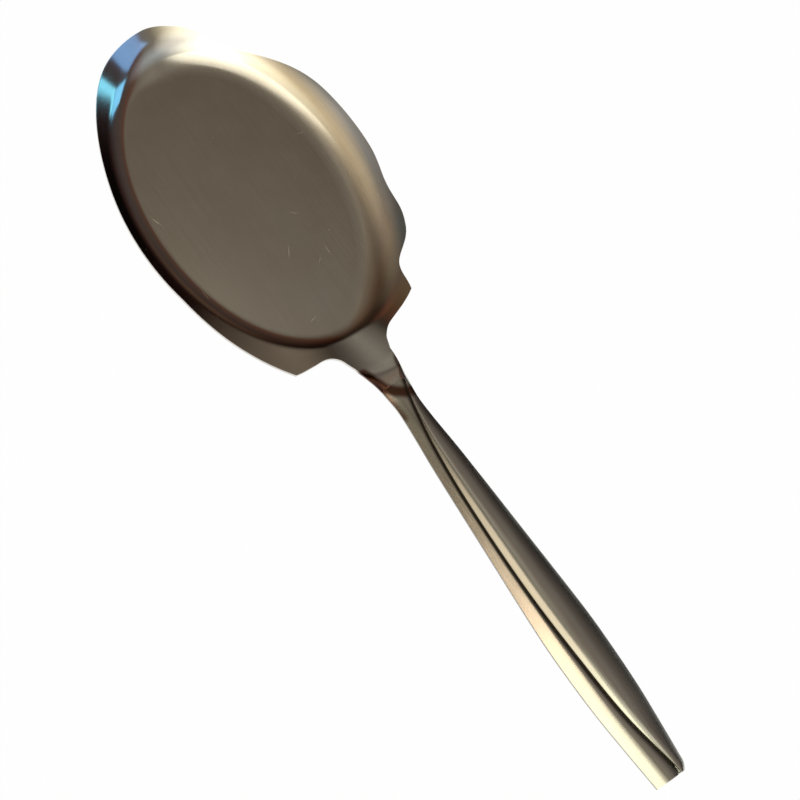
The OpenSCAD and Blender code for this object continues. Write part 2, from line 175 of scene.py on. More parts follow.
def makePressedSteel():
    s = pressedSteelSettings
    material, tree = newMaterial("stainless steel, pressed and buffed")
    place = addNode(tree, "TexCoord").outputs["Object"]
    scratches = addScratches(tree, place, s["scratchCell"], s["scratchLength"], s["scratchWidth"])
    # painted brown shade over the neck near the joint
    jointShade = addNode(tree, "Attribute", attribute_name="jointShadeShare").outputs["Fac"]

    cloudInputs = {"Vector": place, "Scale": patternScale(s["cloudSize"]), "Detail": 5.0, "Roughness": 0.6}
    clouds = addNode(tree, "TexNoise", cloudInputs).outputs[0]
    low, high = s["cloudRange"]
    cloudInputs = {"Value": clouds, "From Min": low, "From Max": high}
    cloudy = addNode(tree, "MapRange", cloudInputs, interpolation_type="SMOOTHSTEP").outputs[0]

    stretch = [patternScale(s[key]) for key in ("hairlineLength", "hairlineSpacing", "hairlineSpacing")]
    lined = addNode(tree, "VectorMath", {0: place, 1: stretch}, operation="MULTIPLY").outputs[0]
    hairlines = addNode(tree, "TexNoise", {"Vector": lined, "Scale": 1.0, "Detail": 3.0}).outputs[0]
    low, high = s["hairlineRange"]
    fineInputs = {"Value": hairlines, "From Min": low, "From Max": high, "To Max": s["hairlineShare"]}
    fine = addNode(tree, "MapRange", fineInputs).outputs[0]

    nickInputs = {"Vector": place, "Scale": patternScale(s["edgeNickSize"]), "Detail": 4.0}
    nicks = addNode(tree, "TexNoise", nickInputs).outputs[0]
    edge = addNode(tree, "Attribute", attribute_name="edgeWear").outputs["Fac"]
    knocked = addNode(tree, "Math", {0: edge, 1: nicks}, operation="MULTIPLY").outputs[0]
    low, high = s["edgeNickRange"]
    wornInputs = {"Value": knocked, "From Min": low, "From Max": high}
    worn = addNode(tree, "MapRange", wornInputs, interpolation_type="SMOOTHSTEP").outputs[0]

    tone = linear(s["colour"])
    layers = [(cloudy, "cloudColour"), (fine, "hairlineColour"), (worn, "edgeColour")]
    layers += [(jointShade, "jointShadeColour"), (scratches, "scratchColour")]
    for share, key in layers:
        mixInputs = {"Factor": share, 6: tone, 7: linear(s[key])}
        tone = addNode(tree, "Mix", mixInputs, data_type="RGBA").outputs[2]
    rough = s["roughness"]
    for share, key in ((cloudy, "cloudRoughness"), (worn, "edgeRoughness"), (scratches, "scratchRoughness")):
        rough = addNode(tree, "Math", {0: share, 1: s[key], 2: rough}, operation="MULTIPLY_ADD").outputs[0]
    lineInputs = {"Strength": 1.0, "Distance": s["hairlineDepth"] * mm, "Height": hairlines}
    lines = addNode(tree, "Bump", lineInputs).outputs[0]
    cutInputs = {"Strength": 1.0, "Distance": s["scratchDepth"] * mm, "Height": scratches, "Normal": lines}
    cuts = addNode(tree, "Bump", cutInputs, invert=True).outputs[0]
    metal = {"Base Color": tone, "Metallic": 1.0, "Roughness": rough, "Normal": cuts}
    shader = addNode(tree, "BsdfPrincipled", metal)
    addNode(tree, "OutputMaterial", {"Surface": shader.outputs[0]})
    return material


# Stainless shells, brushed along the handle with a fine belt: satin, so lights stretch into long
# soft bands, with faint darker streaks, small nicks where it is held and painted dark shade in the crease
satinSteelSettings = {
    "colour": "#C1C1BA",
    "streakColour": "#AFAEA6",
    "nickColour": "#D2D1CA",
    "jointShadeColour": jointShadeBrown,
    "creaseShadeColour": "#3A3128",  # painted dark shade in the crease
    "roughness": 0.22,
    "streakRoughness": 0.08,
    "creaseShadeRoughness": 0.2,
    "streakWidth": 0.35,  # a fine belt leaves lines about 0.03 apart, drawn coarser so that they show
    "streakLength": 45.0,
    "streakDepth": 0.0004,
    "streakRange": (0.12, 0.4),  # noise between which the clean steel fades in
    "patchSize": 22.0,
    "nickCell": 15.0,
    "nickLength": 5.0,
    "nickWidth": 0.1,
    "nickDepth": 0.004,
}


def makeSatinSteel():
    s = satinSteelSettings
    material, tree = newMaterial("stainless steel, satin brushed")
    place = addNode(tree, "TexCoord").outputs["Object"]
    nicks = addScratches(tree, place, s["nickCell"], s["nickLength"], s["nickWidth"])
    # painted brown shade near the joint
    jointShade = addNode(tree, "Attribute", attribute_name="jointShadeShare").outputs["Fac"]
    # painted dark shade along the crease
    creaseShade = addNode(tree, "Attribute", attribute_name="creaseShade").outputs["Fac"]

    stretch = [patternScale(s[key]) for key in ("streakLength", "streakWidth", "streakWidth")]
    lined = addNode(tree, "VectorMath", {0: place, 1: stretch}, operation="MULTIPLY").outputs[0]
    streakInputs = {"Vector": lined, "Scale": 1.0, "Detail": 4.0, "Roughness": 0.6}
    streaks = addNode(tree, "TexNoise", streakInputs).outputs[0]
    patchInputs = {"Vector": place, "Scale": patternScale(s["patchSize"]), "Detail": 4.0}
    patches = addNode(tree, "TexNoise", patchInputs).outputs[0]
    patchy = addNode(tree, "Math", {0: streaks, 1: patches}, operation="MULTIPLY").outputs[0]
    low, high = s["streakRange"]
    clean = addNode(tree, "MapRange", {"Value": patchy, "From Min": low, "From Max": high}).outputs[0]

    tone = linear(s["streakColour"])
    layers = [(clean, "colour"), (nicks, "nickColour"), (jointShade, "jointShadeColour"), (creaseShade, "creaseShadeColour")]
    for share, key in layers:
        mixInputs = {"Factor": share, 6: tone, 7: linear(s[key])}
        tone = addNode(tree, "Mix", mixInputs, data_type="RGBA").outputs[2]
    rough = s["roughness"]
    for share, key in ((clean, "streakRoughness"), (creaseShade, "creaseShadeRoughness")):
        rough = addNode(tree, "Math", {0: share, 1: s[key], 2: rough}, operation="MULTIPLY_ADD").outputs[0]
    lineInputs = {"Strength": 1.0, "Distance": s["streakDepth"] * mm, "Height": streaks}
    lines = addNode(tree, "Bump", lineInputs).outputs[0]
    cutInputs = {"Strength": 1.0, "Distance": s["nickDepth"] * mm, "Height": nicks, "Normal": lines}
    cuts = addNode(tree, "Bump", cutInputs, invert=True).outputs[0]
    metal = {"Base Color": tone, "Metallic": 1.0, "Roughness": rough, "Normal": cuts}
    shader = addNode(tree, "BsdfPrincipled", metal)
    addNode(tree, "OutputMaterial", {"Surface": shader.outputs[0]})
    return material


# Silver solder, flowed by flame and left as it set: dull, dark and slightly pitted
silverSolderSettings = {
    "colour": "#6E665C",
    "oxideColour": "#443D36",
    "roughness": 0.42,
    "oxideRoughness": 0.25,
    "pitSize": 0.4,
    "pitDepth": 0.02,
}


def makeSilverSolder():
    s = silverSolderSettings
    material, tree = newMaterial("silver solder, as set")
    place = addNode(tree, "TexCoord").outputs["Object"]
    pitInputs = {"Vector": place, "Scale": patternScale(s["pitSize"]), "Detail": 3.0}
    pits = addNode(tree, "TexNoise", pitInputs).outputs[0]
    mixInputs = {"Factor": pits, 6: linear(s["colour"]), 7: linear(s["oxideColour"])}
    tone = addNode(tree, "Mix", mixInputs, data_type="RGBA").outputs[2]
    roughInputs = {0: pits, 1: s["oxideRoughness"], 2: s["roughness"]}
    rough = addNode(tree, "Math", roughInputs, operation="MULTIPLY_ADD").outputs[0]
    bumpInputs = {"Strength": 1.0, "Distance": s["pitDepth"] * mm, "Height": pits}
    pitted = addNode(tree, "Bump", bumpInputs).outputs[0]
    metal = {"Base Color": tone, "Metallic": 1.0, "Roughness": rough, "Normal": pitted}
    shader = addNode(tree, "BsdfPrincipled", metal)
    addNode(tree, "OutputMaterial", {"Surface": shader.outputs[0]})
    return material


# Filling cement of resin and stone dust, poured hot: matt grey-brown with pale grit
cementSettings = {
    "colour": "#6E665B",
    "gritColour": "#A69C8B",
    "roughness": 0.85,
    "gritSize": 0.6,
    "gritDepth": 0.05,
    "gritRange": (0.35, 0.15),  # distance from a grain's middle, as a share of its cell
}


def makeCement():
    s = cementSettings
    material, tree = newMaterial("filling cement, poured")
    place = addNode(tree, "TexCoord").outputs["Object"]
    grit = addNode(tree, "TexVoronoi", {"Vector": place, "Scale": patternScale(s["gritSize"])})
    outside, inside = s["gritRange"]
    gritInputs = {"Value": grit.outputs["Distance"], "From Min": outside, "From Max": inside}
    specks = addNode(tree, "MapRange", gritInputs).outputs[0]
    mixInputs = {"Factor": specks, 6: linear(s["colour"]), 7: linear(s["gritColour"])}
    tone = addNode(tree, "Mix", mixInputs, data_type="RGBA").outputs[2]
    bumpInputs = {"Strength": 1.0, "Distance": s["gritDepth"] * mm, "Height": specks}
    gritty = addNode(tree, "Bump", bumpInputs).outputs[0]
    stone = {"Base Color": tone, "Roughness": s["roughness"], "Normal": gritty}
    shader = addNode(tree, "BsdfPrincipled", stone)
    addNode(tree, "OutputMaterial", {"Surface": shader.outputs[0]})
    return material


pressedSteel = makePressedSteel()
satinSteel = makeSatinSteel()
silverSolder = makeSilverSolder()
cement = makeCement()
print("materials made")


def clamp01(t):
    return min(1.0, max(0.0, t))


def ease(t):
    c = clamp01(t)
    return c * c * (3 - 2 * c)


def mix(a, b, t):
    return a + (b - a) * t


def steps(start, end, count):
    return [mix(start, end, i / count) for i in range(count + 1)]


def spread(start, end, count):  # closer together at both ends
    return [mix(start, end, (1 - math.cos(math.pi * i / count)) / 2) for i in range(count + 1)]


def cosd(angle):
    return math.cos(math.radians(angle))


def sind(angle):
    return math.sin(math.radians(angle))


def tand(angle):
    return math.tan(math.radians(angle))


def curveAt(table, x):  # smooth curve through (place, value) pairs
    i = 0
    while i < len(table) - 2 and x >= table[i + 1][0]:
        i += 1

    def tangent(k):
        a, b = table[max(0, k - 1)], table[min(len(table) - 1, k + 1)]
        return (b[1] - a[1]) / (b[0] - a[0])

    width = table[i + 1][0] - table[i][0]
    t = (x - table[i][0]) / width
    ends = table[i][1] * (1 + 2 * t) * (1 - t) ** 2 + table[i + 1][1] * t * t * (3 - 2 * t)
    return ends + width * (tangent(i) * t * (1 - t) ** 2 - tangent(i + 1) * t * t * (1 - t))


roundedAngle = 38  # degrees between two faces, above which their edge is rounded
fitSlack = 0.01  # room for rounding when picking the edges at the joint


# Every piece is fixed to the one body. Edges with both ends between the two sharp X places, where
# neck and handle meet, stay sharp, so that no groove shows at the joint.
def addPiece(name, mesh, node, slot, material, edgeRadius, sharpFrom=math.inf, sharpTo=math.inf):
    bmesh.ops.recalc_face_normals(mesh, faces=mesh.faces)
    weights = mesh.edges.layers.float.new("bevel_weight_edge")
    for edge in mesh.edges:
        if edge.calc_face_angle(0.0) > math.radians(roundedAngle):
            atJoint = all(sharpFrom * mm < vert.co.x < sharpTo * mm for vert in edge.verts)
            edge[weights] = 0.0 if atJoint else 1.0
            edge.smooth = not atJoint
    for face in mesh.faces:
        face.smooth = True
    data = bpy.data.meshes.new(name)
    mesh.to_mesh(data)
    mesh.free()
    data.materials.append(material)
    piece = bpy.data.objects.new(name, data)
    bpy.context.collection.objects.link(piece)
    if edgeRadius:
        rounding = piece.modifiers.new("edge rounding", "BEVEL")
        rounding.limit_method = "WEIGHT"
        rounding.offset_type = "OFFSET"
        rounding.width = edgeRadius * mm
        rounding.segments = 3
        rounding.harden_normals = True
    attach(piece, "root")
    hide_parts(node)
    print(name, "made:", len(data.polygons), "faces")
    return piece


# Pan: flat oval floor, flared rim with two ears, ramped neck, and the tang inside the handle
pan = {
    "floorLength": 97.0,
    "floorWidth": 62.0,
    "sheet": 1.2,
    "floorFillet": 9.5,
    "neckBendLead": 1.0,  # how far inside the floor's edge the bend starts, at the neck
    "tipBendLead": 6.0,  # and at the tip and on the leaf's side
    "bendPower": 1.5,  # above 1 the bend starts gently
    "bendLimit": 0.85,  # share of the rim's width that the bend may take
    "rimSlope": 31.0,  # degrees
    "tipRim": 10.7,
    "bandSideRim": 7.3,
    "leafSideRim": 8.485,
    "tipDip": 3.9,
    "sideDip": 0.8,
    "sideSwell": 0.9,
    "earDip": 1.8,
    "bandEar": 14.1,
    "leafEar": 10.9,
    "bandEarFade": 1.2,  # power by which the ear fades into the rim
    "leafEarFade": 2.0,
    "bandHollow": 8.2,
    "leafHollow": 8.9,
    "bandRoot": 1.3,  # how much wider than the hollow the rim is beside the neck
    "leafRoot": 1.7,
    "bandEarFoot": 0.38,  # share of the climb from hollow to ear
    "neckSlope": 25.0,  # degrees
    "neckRise": 8.5,
    "neckBendBand": 24.0,  # radius where the neck turns level, at its edge on the band's side
    "neckBendLeaf": 7.0,  # and on the leaf's side
    "neckLength": 23.5,
    "neckRootShare": 0.57,
    "neckEase": 0.5,  # 0 tapers the neck straight, 1 eases it in and out
    "jointWidth": 9.0,
    "tangLength": 40.0,
    "tangWidth": 5.0,
    "tangThickness": 1.0,
    "tangDrop": 0.2,
    "edgeRadius": 0.25,
    "floorRings": (0.25, 0.5, 0.72, 0.88),  # shares of the flat floor
    "neckColumns": 24,
    "neckRows": 24,
    "flankColumns": 26,
    "rimColumns": 100,
    "bendRings": 18,
    "flareRings": 8,
}
# Directions round the pan, in degrees from the handle
panTurns = {
    "neck": 10.7,
    "bandRoot": 15.0,
    "bandHollow": 22.0,
    "bandEarFoot": 30.0,
    "bandEar": 38.0,
    "bandEarEnd": 78.0,
    "leafRoot": 15.5,
    "leafHollow": 24.0,
    "leafEar": 42.4,
    "leafEarEnd": 54.4,
    "slopeStart": 15.0,  # from here to the next the neck's slope grows to the rim's
    "slopeEnd": 55.0,
    "bandTipStart": 105.0,
    "bandTipEnd": 155.0,
    "bandLeadStart": 135.0,
    "leafTipStart": 150.0,
    "tip": 180.0,
    "tipDip": (130.0, 29.0),  # middle and half spread
    "sideDip": (77.0, 9.0),
    "sideSwell": (66.0, 13.0),
    "earDip": (53.5, 11.0),
}
halfLength = pan["floorLength"] / 2
halfWidth = pan["floorWidth"] / 2
neckRootX = halfLength + pan["neckRootShare"] * pan["neckLength"]
jointX = halfLength + pan["neckLength"]


# Point of the floor's edge whose outward direction is the given turn
def floorEdge(turn):
    size = math.hypot(halfLength * cosd(turn), halfWidth * sind(turn))
    return halfLength**2 * cosd(turn) / size, halfWidth**2 * sind(turn) / size


def wave(turn, name):  # one dip or swell of the rim's edge
    middle, halfSpread = panTurns[name]
    away = abs(turn - middle) / halfSpread
    return pan[name] * cosd(90 * away) ** 2 if away < 1 else 0.0


def between(turn, start, end):
    return clamp01((turn - panTurns[start]) / (panTurns[end] - panTurns[start]))


rootReach = (neckRootX - floorEdge(panTurns["neck"])[0]) / cosd(panTurns["neck"])
leafFlank = [
    (panTurns["neck"], rootReach),
    (panTurns["leafRoot"], pan["leafHollow"] + pan["leafRoot"]),
    (panTurns["leafHollow"], pan["leafHollow"]),
    (panTurns["leafEar"], pan["leafEar"]),
]
bandFlank = [
    (panTurns["neck"], rootReach),
    (panTurns["bandRoot"], pan["bandHollow"] + pan["bandRoot"]),
    (panTurns["bandHollow"], pan["bandHollow"]),
    (panTurns["bandEarFoot"], mix(pan["bandHollow"], pan["bandEar"], pan["bandEarFoot"])),
    (panTurns["bandEar"], pan["bandEar"]),
]


def leafRim(turn):
    ear = (1 - between(turn, "leafEar", "leafEarEnd")) ** pan["leafEarFade"]
    width = mix(pan["leafSideRim"], pan["tipRim"], ease(between(turn, "leafTipStart", "tip")))
    width += (pan["leafEar"] - pan["leafSideRim"]) * ear
    return width + wave(turn, "sideSwell") - sum(wave(turn, dip) for dip in ("tipDip", "sideDip", "earDip"))


def bandRim(turn):
    ear = (1 - between(turn, "bandEar", "bandEarEnd")) ** pan["bandEarFade"]
    width = mix(pan["bandSideRim"], pan["tipRim"], ease(between(turn, "bandTipStart", "bandTipEnd")))
    return width + (pan["bandEar"] - pan["bandSideRim"]) * ear


# Width of the rim, seen from above
def rimReach(turn):
    if abs(turn) <= panTurns["neck"]:
        return (neckRootX - floorEdge(turn)[0]) / cosd(turn)
    if turn > 0:
        return curveAt(leafFlank, turn) if turn < panTurns["leafEar"] else leafRim(turn)
    return curveAt(bandFlank, -turn) if -turn < panTurns["bandEar"] else bandRim(-turn)


def slopeAt(turn):
    return mix(pan["neckSlope"], pan["rimSlope"], ease(between(abs(turn), "slopeStart", "slopeEnd")))


# Where the bend between floor and flare starts and ends, out from the floor's edge
def bendEnds(turn):
    middle = pan["floorFillet"] * tand(slopeAt(turn) / 2)
    leafSide = ease(turn / panTurns["leafEar"])
    bandSide = ease(between(-turn, "bandLeadStart", "tip"))
    lead = mix(pan["neckBendLead"], pan["tipBendLead"], max(leafSide, bandSide))
    return -lead, -lead + (middle + lead) * (1 + 1 / pan["bendPower"])


# Height above the floor: a bend that starts gently, then a straight flare
def flare(out, turn):
    start, end = bendEnds(turn)
    power = pan["bendPower"] + 1
    share = clamp01((out - start) / (end - start))
    bent = (end - start) * share**power / power
    return tand(slopeAt(turn)) * (bent + max(0.0, out - end))


# The neck climbs the same way, then bends level, sooner on the band's side
def ramp(out, y=0.0):
    slope, rise, fillet = pan["neckSlope"], pan["neckRise"], pan["floorFillet"]
    side = clamp01(0.5 + y / pan["jointWidth"])  # 0 at the band's edge, 1 at the leaf's
    radius = pan["neckBendBand"] * (pan["neckBendLeaf"] / pan["neckBendBand"]) ** side
    straight = rise - radius * (1 - cosd(slope)) - fillet * (1 - cosd(slope))
    bendStart = fillet * sind(slope) + straight / tand(slope)
    bendEnd = bendStart + radius * sind(slope)
    if out < bendStart:
        return flare(out, 0)
    return rise - radius + math.sqrt(radius**2 - (bendEnd - out) ** 2) if out < bendEnd else rise


# Handle: two soldered front shells that meet in a crease, and a rounded back
handle = {
    "length": 137.5,
    "waistWidth": 7.6,
    "gripWidth": 16.6,
    "endWidth": 11.2,
    "frontHollow": 2.075,
    "backHollow": 3.5,
    "jointFrontHollow": 0.1,
    "plainArch": 2.0,  # power of the front's arch, more is flatter with tighter shoulders
    "bandFlatness": 6.0,  # the same power at the joint
    "leafFlatness": 9.0,
    "flatLength": 0.04,  # share of the handle over which the joint's top rounds to a plain arch
    "backFullness": 2.6,
    "creaseDepth": 1.3,
    "creaseOffset": 3.7,
    "creaseStart": 0.7,  # where the crease leaves the leaf's side, just past the neck
    "leafLip": 0.4,
    "lipStart": 0.2,  # share of the handle over which the lip rises
    "leafStartWidth": 1.3,
    "leafEndWidth": 2.6,
    "leafSlopeWidth": 2.6,
    "neckLeafSlope": 1.1,
    "leafSlopeStart": 0.35,  # share of the handle over which the slope widens
    "leafCorner": 1.1,
    "notchLength": 3.0,
    "notchWidth": 0.9,
    "bandCreaseShade": 1.7,  # how far the painted shade reaches from the crease
    "leafCreaseShade": 0.45,
    "wall": 0.7,
    "solderGap": 0.2,
    "creaseGap": 0.4,
    "creaseSink": 0.12,
    "fitGap": 0.03,
    "cementGap": 0.06,
    "edgeRadius": 0.1,
    "rows": 170,
    "notchRows": 10,
    "columns": 24,
}


def arch(y, half, flatness):
    return 1 - (abs(y) / half) ** flatness


def jointFlatness(y):
    return handle["bandFlatness"] if y < 0 else handle["leafFlatness"]


def bulge(y, half):
    return max(0.0, 1 - (abs(y) / half) ** handle["backFullness"]) ** (1 / handle["backFullness"])


tangRoom = bulge(pan["tangWidth"], handle["waistWidth"] - 2 * handle["wall"])
jointBackHollow = (pan["tangDrop"] + pan["tangThickness"] + 2 * handle["cementGap"]) / tangRoom
jointCrown = handle["jointFrontHollow"] + handle["wall"]
jointBack = jointBackHollow + handle["wall"]
seamZ = pan["sheet"] + ramp(pan["neckLength"]) - jointCrown - handle["solderGap"] / 2


# Painted brown shade along a line that curves across the joint, fading out on both sides
jointShadeSettings = {
    "line": [(64.5, -5.4), (68.0, -4.7), (71.6, -3.5), (73.9, -1.4), (75.7, 1.1), (76.3, 3.2)],
    "reach": 2.4,
    "fade": 1.5,
    "edgeShade": [(72.5, -4.3), (77.0, -3.8), (82.0, -3.7)],  # paler painted shade, along the band's edge
    "edgeShadeReach": 2.0,
    "edgeShadeFade": 2.0,
    "edgeShadeShare": 0.8,
}


def awayFrom(line, place):  # distance to a line through the given points, seen from above
    corners = [Vector(corner) for corner in line]
    aways = []
    for a, b in zip(corners, corners[1:]):
        share = clamp01((place - a).dot(b - a) / (b - a).length_squared)
        aways.append((place - a.lerp(b, share)).length)
    return min(aways)


# Share of painted brown shade at a point, seen from above
def jointShadeAt(point):
    s = jointShadeSettings
    place = Vector((point.x, point.y)) / mm
    shade = ease((s["reach"] - awayFrom(s["line"], place)) / s["fade"])
    edgeShade = ease((s["edgeShadeReach"] - awayFrom(s["edgeShade"], place)) / s["edgeShadeFade"])
    return max(shade, s["edgeShadeShare"] * edgeShade)


def acrossNeck(half):  # from the band's side to the leaf's, closer together at both
    count = pan["neckColumns"]
    return [-half * cosd(180 * j / count) for j in range(count + 1)]


def rimTurns():
    neck, leafEar, bandEar, tip = (panTurns[key] for key in ("neck", "leafEar", "bandEar", "tip"))
    leafSide = steps(neck, leafEar, pan["flankColumns"])[1:] + steps(leafEar, tip, pan["rimColumns"])[1:]
    bandSide = steps(tip, bandEar, pan["rimColumns"])[1:] + steps(bandEar, neck, pan["flankColumns"])[1:-1]
    return acrossNeck(neck) + leafSide + [-turn for turn in bandSide]


def ringPoints(turns, drop):
    rings = []
    for share in pan["floorRings"]:
        rings.append([(x * share, y * share, pan["sheet"] - drop) for x, y in map(floorEdge, turns)])
    for k in range(pan["bendRings"] + pan["flareRings"] + 1):
        ring = []
        for turn in turns:
            reach = rimReach(turn)
            start, end = bendEnds(turn)
            bend = min(end, pan["bendLimit"] * reach)
            if k <= pan["bendRings"]:
                out = mix(start, bend, k / pan["bendRings"])
            else:
                out = mix(bend, reach, (k - pan["bendRings"]) / pan["flareRings"])
            x, y = floorEdge(turn)
            z = pan["sheet"] + flare(out, turn) - drop
            ring.append((x + out * cosd(turn), y + out * sind(turn), z))
        rings.append(ring)
    return rings


# One row across the neck, t running from the pan's rim to the handle
def neckRow(t, upper):
    x = mix(neckRootX, jointX, t)
    rootHalf = floorEdge(panTurns["neck"])[1] + rootReach * sind(panTurns["neck"])
    half = mix(rootHalf, pan["jointWidth"] / 2, mix(t, ease(t), pan["neckEase"]))
    row = []
    for y in acrossNeck(half):
        bow = (1 - t) * y**2 / (2 * (halfWidth**2 / halfLength + x - halfLength))
        crown = pan["sheet"] + ramp(min(x - halfLength + bow, pan["neckLength"]), y)
        if upper:
            z = crown - ease(t) * jointCrown * (1 - arch(y, half, jointFlatness(y)))
        else:
            thick = jointCrown + handle["solderGap"] + jointBack * bulge(y, half)
            z = crown - mix(pan["sheet"], thick, ease(t))
        row.append((x, y, z))
    return row


def makePan():
    turns = rimTurns()
    across = pan["neckColumns"]
    mesh = bmesh.new()
    edgeWear, jointShade = [mesh.verts.layers.float.new(layer) for layer in ("edgeWear", "jointShadeShare")]

    def addRow(points):
        return [mesh.verts.new(Vector(p) * mm) for p in points]

    faces, edges, ends, neckRows = [], [], [], []
    for drop in (0.0, pan["sheet"]):
        rings = [addRow(points) for points in ringPoints(turns, drop)]
        hub = mesh.verts.new(Vector((0, 0, pan["sheet"] - drop)) * mm)
        for c in range(len(turns)):
            n = (c + 1) % len(turns)
            faces.append((hub, rings[0][c], rings[0][n]))
            for inside, outside in zip(rings, rings[1:]):
                faces.append((inside[c], inside[n], outside[n], outside[c]))
        rows = [rings[-1][: across + 1]]
        rows += [addRow(neckRow(t, drop == 0)) for t in steps(0, 1, pan["neckRows"])[1:]]
        for near, far in zip(rows, rows[1:]):
            faces += [(near[j], near[j + 1], far[j + 1], far[j]) for j in range(across)]
        # The sheet's edge runs from one side of the joint round the pan to the other
        edges.append([row[-1] for row in reversed(rows)] + rings[-1][across + 1 :] + [row[0] for row in rows])
        ends.append(rows[-1])
        neckRows += rows
    upper, lower = edges
    for c in range(len(upper) - 1):
        faces.append((upper[c], upper[c + 1], lower[c + 1], lower[c]))
    for corners in faces:
        mesh.faces.new(corners)
    for vert in upper + lower:
        vert[edgeWear] = 1.0
    # painted brown shade over the neck near the joint
    for row in neckRows:
        for vert in row:
            vert[jointShade] = jointShadeAt(vert.co)

    # Tang, joined to the neck's end by a flat shoulder
    halfTang, top = pan["tangWidth"] / 2, seamZ - pan["tangDrop"]
    bottom = top - pan["tangThickness"]
    section = [(-halfTang, top), (halfTang, top), (halfTang, bottom), (-halfTang, bottom)]
    near, far = [addRow([(x, y, z) for y, z in section]) for x in (jointX, jointX + pan["tangLength"])]
    for c in range(len(section)):
        n = (c + 1) % len(section)
        mesh.faces.new((near[c], near[n], far[n], far[c]))
    mesh.faces.new(far)
    shoulder = []
    for loop in (ends[0] + ends[1][::-1], near):
        for c in range(len(loop)):
            pair = loop[c - 1], loop[c]
            shoulder.append(mesh.edges.get(pair) or mesh.edges.new(pair))
    bmesh.ops.bridge_loops(mesh, edges=shoulder)
    sharpFrom = jointX - fitSlack
    return addPiece("panPressing", mesh, "pan", "pan_steel", pressedSteel, pan["edgeRadius"], sharpFrom)


panPieces = [makePan()]

notchStart = 1 - handle["notchLength"] / handle["length"]
shellPlaces = steps(0, notchStart, handle["rows"])
handlePlaces = shellPlaces + steps(notchStart, 1, handle["notchRows"])[1:]

# Sizes along the handle, from 0 at the neck to 1 at the square end
waistHalf, gripHalf, endHalf = (handle[key] / 2 for key in ("waistWidth", "gripWidth", "endWidth"))
waistShares = ((0.06, 0), (0.2, 0.3), (0.4, 0.64), (0.6, 0.96))
endShares = ((0.68, 0), (0.8, 0.15), (0.9, 0.54), (1, 1))
halfTable = [(0, pan["jointWidth"] / 2)]
halfTable += [(u, mix(waistHalf, gripHalf, share)) for u, share in waistShares]
halfTable += [(u, mix(gripHalf, endHalf, share)) for u, share in endShares]
frontShares = ((0.16, 0.36), (0.4, 0.76), (0.68, 1), (1, 0.68))
frontTable = [(0, handle["jointFrontHollow"])]
frontTable += [(u, share * handle["frontHollow"]) for u, share in frontShares]
backShares = ((0, 0), (0.16, 0.3), (0.4, 0.7), (0.68, 1))
backTable = [(u, mix(jointBackHollow, handle["backHollow"], share)) for u, share in backShares]
backTable.append((1, 0.66 * handle["backHollow"]))
creaseShares = ((0.16, 0.38), (0.3, 0.8), (0.52, 1), (0.7, 0.76), (0.85, 0.3))
creaseTable = [(0, pan["jointWidth"] / 2 - handle["leafStartWidth"]), (0.07, handle["creaseStart"])]
creaseTable += [(u, -share * handle["creaseOffset"]) for u, share in creaseShares]
creaseTable.append((1, endHalf - handle["leafEndWidth"]))
depthShares = ((0, 0), (0.06, 0.3), (0.16, 0.6), (0.4, 0.9), (0.68, 1), (1, 0.85))
depthTable = [(u, share * handle["creaseDepth"]) for u, share in depthShares]
# Width in millimetres of the band's slope into the crease
bandSlopeTable = [(0, 0.9), (0.5, 1.1), (0.64, 1.6), (0.75, 2.2), (0.86, 3.2), (1, 5.6)]


def alongX(u):
    return jointX + handle["fitGap"] + u * handle["length"]


def notchShare(u):
    return clamp01(1 - (1 - u) * handle["length"] / handle["notchLength"]) ** 2


def bandHalf(u):
    return curveAt(halfTable, u)


def leafHalf(u):
    return bandHalf(u) - handle["leafCorner"] * notchShare(u)


def creaseY(u):
    return curveAt(creaseTable, u)


def bandEdge(u):
    return creaseY(u) - handle["creaseGap"] / 2 - handle["notchWidth"] * notchShare(u)


def leafEdge(u):
    return creaseY(u) + handle["creaseGap"] / 2


def lipAt(u):
    return handle["leafLip"] * ease(u / handle["lipStart"])


def sideHalf(u, y):
    return bandHalf(u) if y < 0 else leafHalf(u)


# How far the front sinks towards the crease
def groove(u, y, lip):
    away = y - creaseY(u)
    depth = curveAt(depthTable, u)
    if away < 0:
        return depth * clamp01(1 + away / curveAt(bandSlopeTable, u)) ** 2
    widening = ease(u / handle["leafSlopeStart"])
    slopeWidth = mix(handle["neckLeafSlope"], handle["leafSlopeWidth"], widening)
    leafSlope = min(slopeWidth, leafHalf(u) - handle["wall"] - creaseY(u))
    return (depth - lip) * clamp01(1 - away / leafSlope) ** 2


# Front and back surfaces, set in from the outside by the given amount
def frontPoint(u, y, inset, lip=0.0):
    crown = curveAt(frontTable, u) + handle["wall"] - inset
    rounding = math.sqrt(ease(u / handle["flatLength"]))
    flatness = mix(jointFlatness(y), handle["plainArch"], rounding)
    base = seamZ + handle["solderGap"] / 2 - groove(u, y, lip)
    base += ramp(pan["neckLength"] + u * handle["length"], y) - pan["neckRise"]  # the neck's bend runs on
    return alongX(u), y, base + crown * arch(y, sideHalf(u, y) - inset, flatness)


def backPoint(u, y, inset):
    depth = curveAt(backTable, u) + handle["wall"] - inset
    z = seamZ - handle["solderGap"] / 2 - depth * bulge(y, sideHalf(u, y) - inset)
    return alongX(u), y, z


